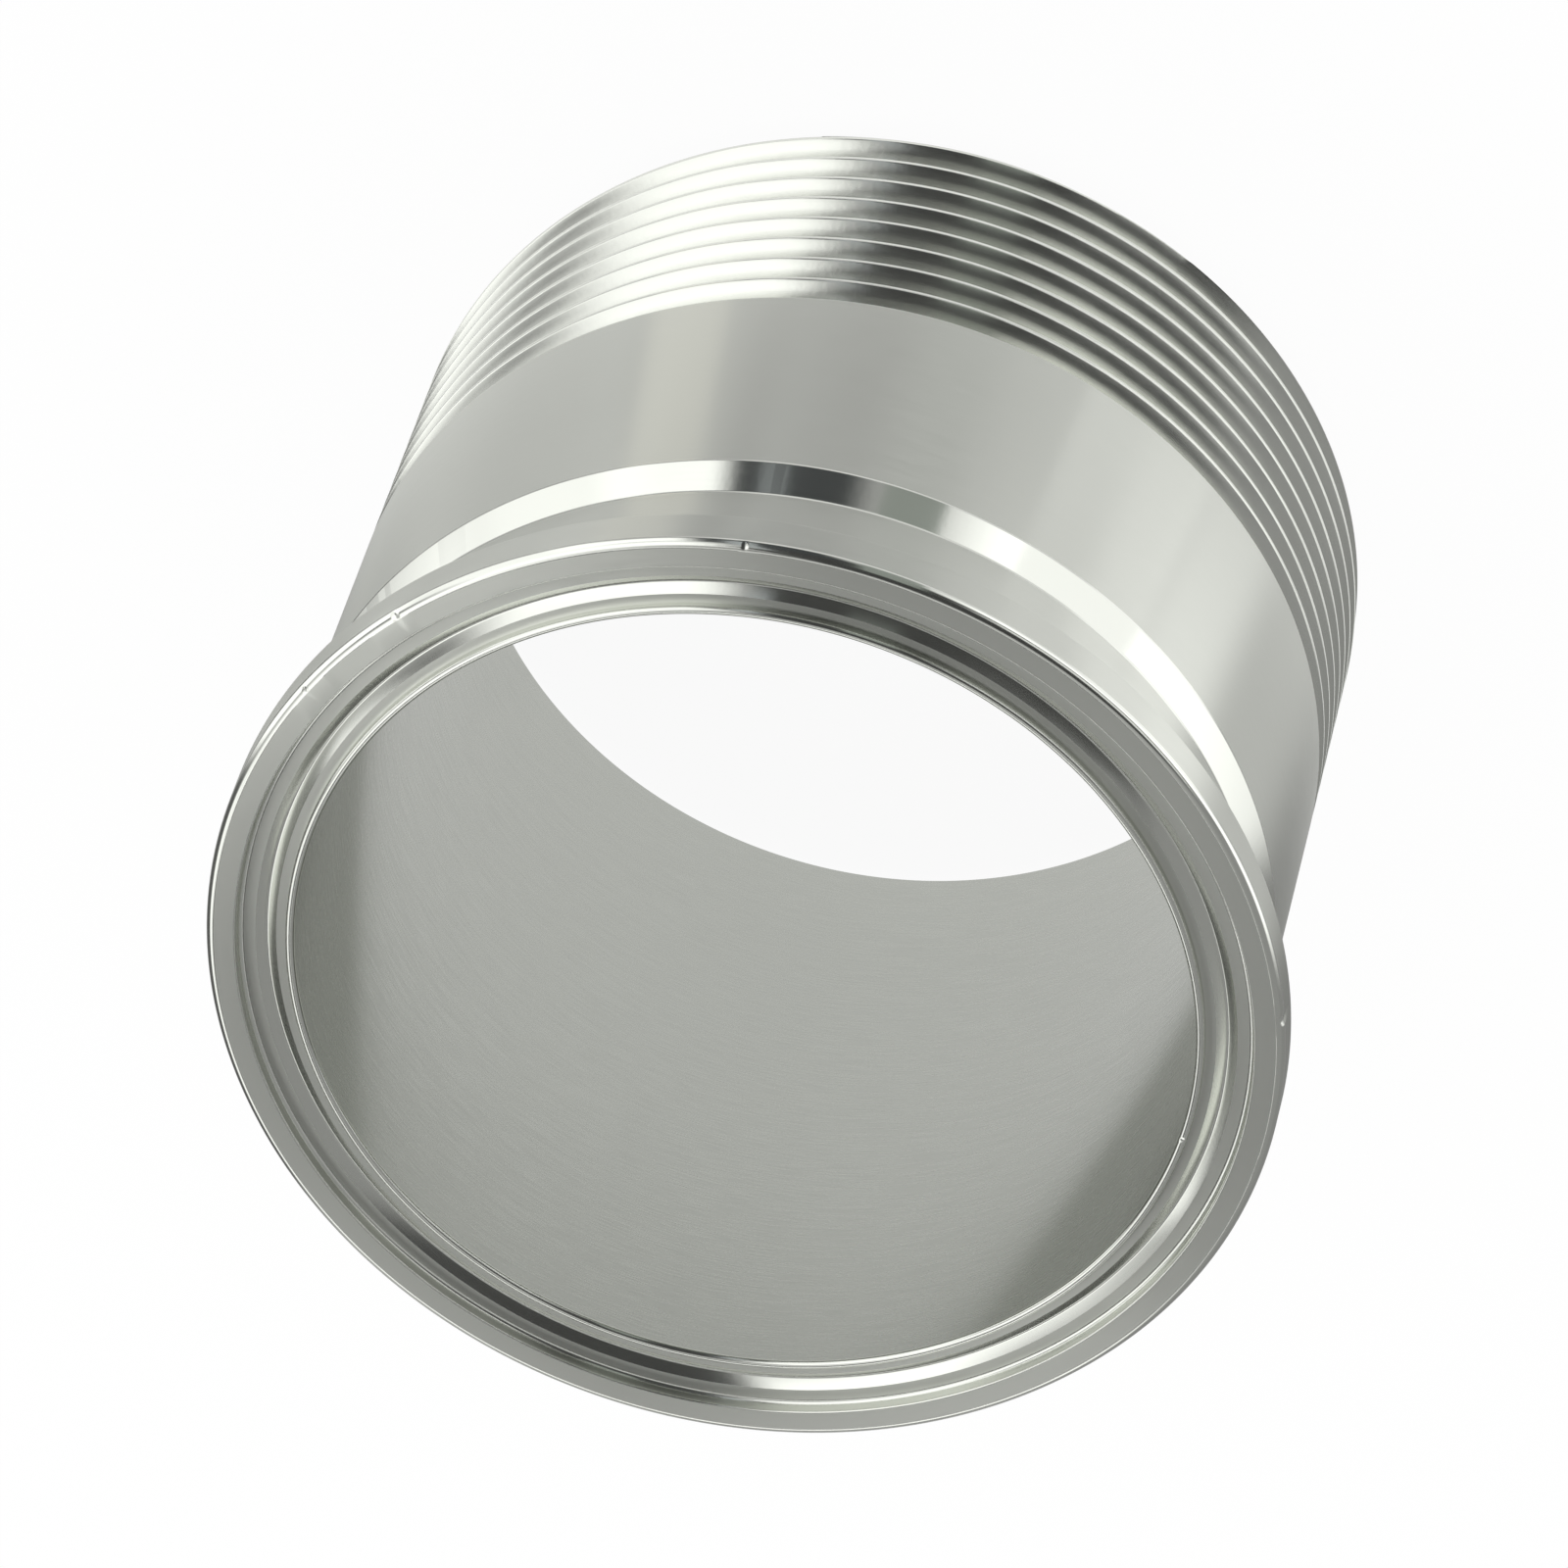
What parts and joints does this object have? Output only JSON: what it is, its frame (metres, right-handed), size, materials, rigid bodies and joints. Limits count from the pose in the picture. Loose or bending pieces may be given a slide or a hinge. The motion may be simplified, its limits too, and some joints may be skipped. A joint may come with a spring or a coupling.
{
  "type": "sanitary clamp threaded adapter",
  "caption": "Tubular stainless adapter with a sanitary clamp flange and grooved sealing face at one end and a male parallel pipe thread at the other.",
  "frame": {"origin": "centre of the thread end, on the face that the part stands on", "axes": "+Z along the bore, from the thread end to the sealing face of the clamp flange"},
  "size_m": [0.064, 0.064, 0.051],
  "materials": {
    "stainless_steel": "turned stainless steel, satin on the faces and bright in the thread and on the edges"
  },
  "bodies": {
    "root": {"clamp_thread_adapter": "stainless_steel"}
  },
  "joints": []
}
